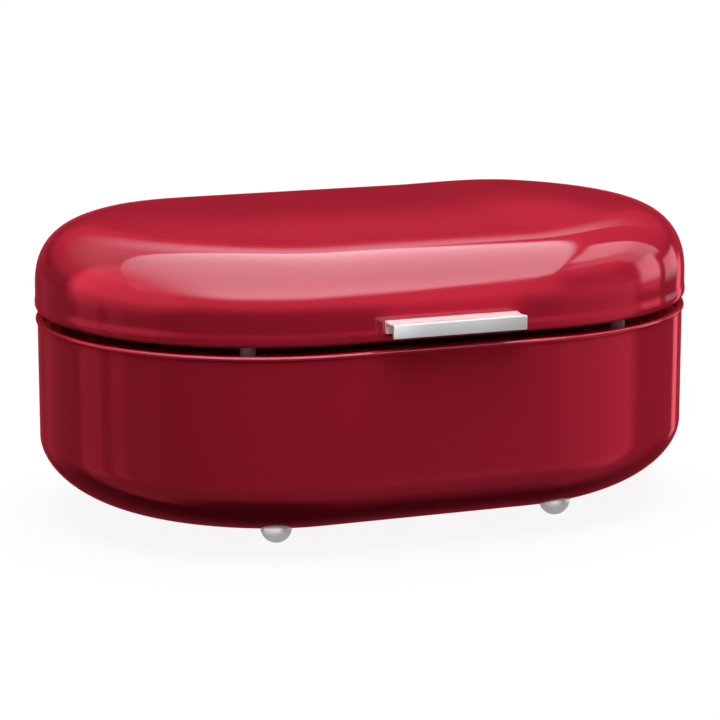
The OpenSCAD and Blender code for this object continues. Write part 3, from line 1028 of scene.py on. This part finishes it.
def red_front(n, to):
    """The warm room in front: bright above its horizon, dimmer below it."""
    z, azimuth = to.z, to.azimuth
    tilt = n.ramp(n.math("ABSOLUTE", n.plus(azimuth, 0.35)), 0.5, 1.1, -0.04, 0.09)
    horizon = n.ramp(n.plus(z, tilt), -0.12, 0.2)
    shade = n.minus(1.0, to.patch((1.1, 1.17, 1.38, 1.42), (-0.1, -0.05, 0.2, 0.3), 0.35))
    to_right = n.ramp(azimuth, 0.35, 0.6)
    tint = n.plus(n.ramp(azimuth, 0.35, 0.6, 5.9, 2.2), n.times(to_right, n.ramp(z, 0.35, 0.6), 2.0),
                  n.times(n.ramp(azimuth, 0.5, 0.75), n.band(z, 0.12, 0.22, 0.32, 0.42), -0.9))
    above = n.times(horizon, tint, n.ramp(z, 0.45, 1.0, 1.0, 0.5), shade)
    below_horizon = n.times(n.ramp(z, -0.98, -0.85), n.ramp(z, -0.6, -0.1, 1.5, 0.4), n.minus(1.0, horizon))
    brighter = n.ramp(azimuth, 0.6, 1.3, 1.3, 2.4)
    low_right = to.patch((0.35, 0.6, 1.25, 1.45), (-0.75, -0.5, -0.05, 0.1), brighter)
    return n.plus(above, below_horizon, low_right)


def red_rear(n, to):
    """The warm room behind: dim at the horizon and brighter towards the ceiling."""
    z = to.z
    sky = n.math("MAXIMUM", z, 0.0)
    rise = n.math("MINIMUM", n.plus(n.times(sky, sky, 2.0), 0.5), 1.8)
    level = n.plus(rise, n.times(n.band(z, 0.04, 0.1, 0.14, 0.26), -0.29),
                   n.times(n.band(z, 0.2, 0.27, 0.4, 0.5), 0.1))
    all_round = n.times(level, n.ramp(z, -1.0, -0.6), n.ramp(z, -0.45, -0.215, 0.5, 1.0))
    return n.plus(all_round, to.patch((-2.9, -2.4, -1.8, -1.6), (-0.1, 0.3, 0.6, 0.8), 0.9))


def red_panels(n, to):
    """The red light: the room in front and behind, with brighter strips at both sides."""
    azimuth = to.azimuth
    in_front = n.times(n.ramp(azimuth, -2.4, -2.15), n.ramp(azimuth, 1.25, 2.1, 1.0, 0.0))
    left_glow = to.patch((-2.35, -2.2, -1.25, -0.9), (0.0, 0.15, 0.5, 0.6), 1.4)
    right_strips = n.plus(to.patch(RIGHT_WINDOW, (-0.35, -0.25, -0.1, 0.0), 1.6),
                          to.patch((1.8, 1.84, 2.1, 2.2), (-0.12, -0.02, 0.08, 0.14), 1.2))
    stripes = n.plus(0.4, n.times(n.band(azimuth, -2.22, -2.14, -1.94, -1.86), 0.9),
                     n.times(n.band(azimuth, -1.81, -1.76, -1.67, -1.58), 0.8))
    left_stripes = to.patch((-3.0, -2.8, -1.4, -1.15), (-0.6, -0.35, -0.1, 0.0), stripes)
    return n.plus(left_glow, right_strips, left_stripes, n.times(in_front, red_front(n, to)),
                  n.times(n.minus(1.0, in_front), red_rear(n, to)),
                  to.patch(LEFT_WINDOW, (-0.19, -0.12, 0.2, 0.35), 2.6))


def studio_panels():
    """An emission that holds the studio's panels by direction, in white and in the room's red."""
    material, n = new_material("studio_panels")
    to = Directions(n)
    white = white_panels(n, to)
    red = red_panels(n, to)
    colour = n.add("ShaderNodeCombineColor")
    for socket, cool, warm in zip(colour.inputs, (1.0, 1.0, 1.1), (1.0, 0.065, 0.11)):
        n.link(n.plus(n.times(white, cool), n.times(red, warm)), socket)
    emission = n.add("ShaderNodeEmission")
    n.link(colour.outputs[0], emission.inputs["Color"])
    out = n.add("ShaderNodeOutputMaterial")
    n.link(emission.outputs[0], out.inputs["Surface"])
    material.cycles.emission_sampling = "NONE"
    return material


def reflection_dome():
    """A far sphere that only the enamel mirrors: it shows the studio's panels and lights nothing else."""
    bm = bmesh.new()
    bmesh.ops.create_icosphere(bm, subdivisions=3, radius=20)
    dome = new_object("reflection_dome", bm)
    dome.data.materials.append(studio_panels())
    dome.visible_camera = False
    dome.visible_diffuse = False
    dome.visible_shadow = False
    dome.light_linking.receiver_collection = enamel_only


reflection_dome()

scene.view_settings.view_transform = "Standard"
scene.view_settings.look = "None"


# ---------------------------------------------------------------- camera

CAMERA_AZIMUTH = -21.15
CAMERA_ELEVATION = 11.85
CAMERA_DISTANCE = 1.868
CAMERA_LENS = 146.2
AIM_RIGHT = -2.4 * MM
AIM_UP = 87.3 * MM


def place_camera():
    """Stands the camera at the photograph's viewing angle, a little above the bin and to its left."""
    azimuth = math.radians(CAMERA_AZIMUTH)
    elevation = math.radians(CAMERA_ELEVATION)
    back = Vector((math.sin(azimuth) * math.cos(elevation),
                   -math.cos(azimuth) * math.cos(elevation),
                   math.sin(elevation)))
    right = Vector((math.cos(azimuth), math.sin(azimuth), 0))
    aim = right * AIM_RIGHT + Vector((0, 0, AIM_UP))
    data = bpy.data.cameras.new("camera")
    data.lens = CAMERA_LENS
    data.sensor_width = 36
    data.clip_start = 0.05
    data.clip_end = 100
    camera = bpy.data.objects.new("camera", data)
    scene.collection.objects.link(camera)
    camera.location = aim + back * CAMERA_DISTANCE
    camera.rotation_euler = back.to_track_quat("Z", "Y").to_euler()
    scene.camera = camera


place_camera()
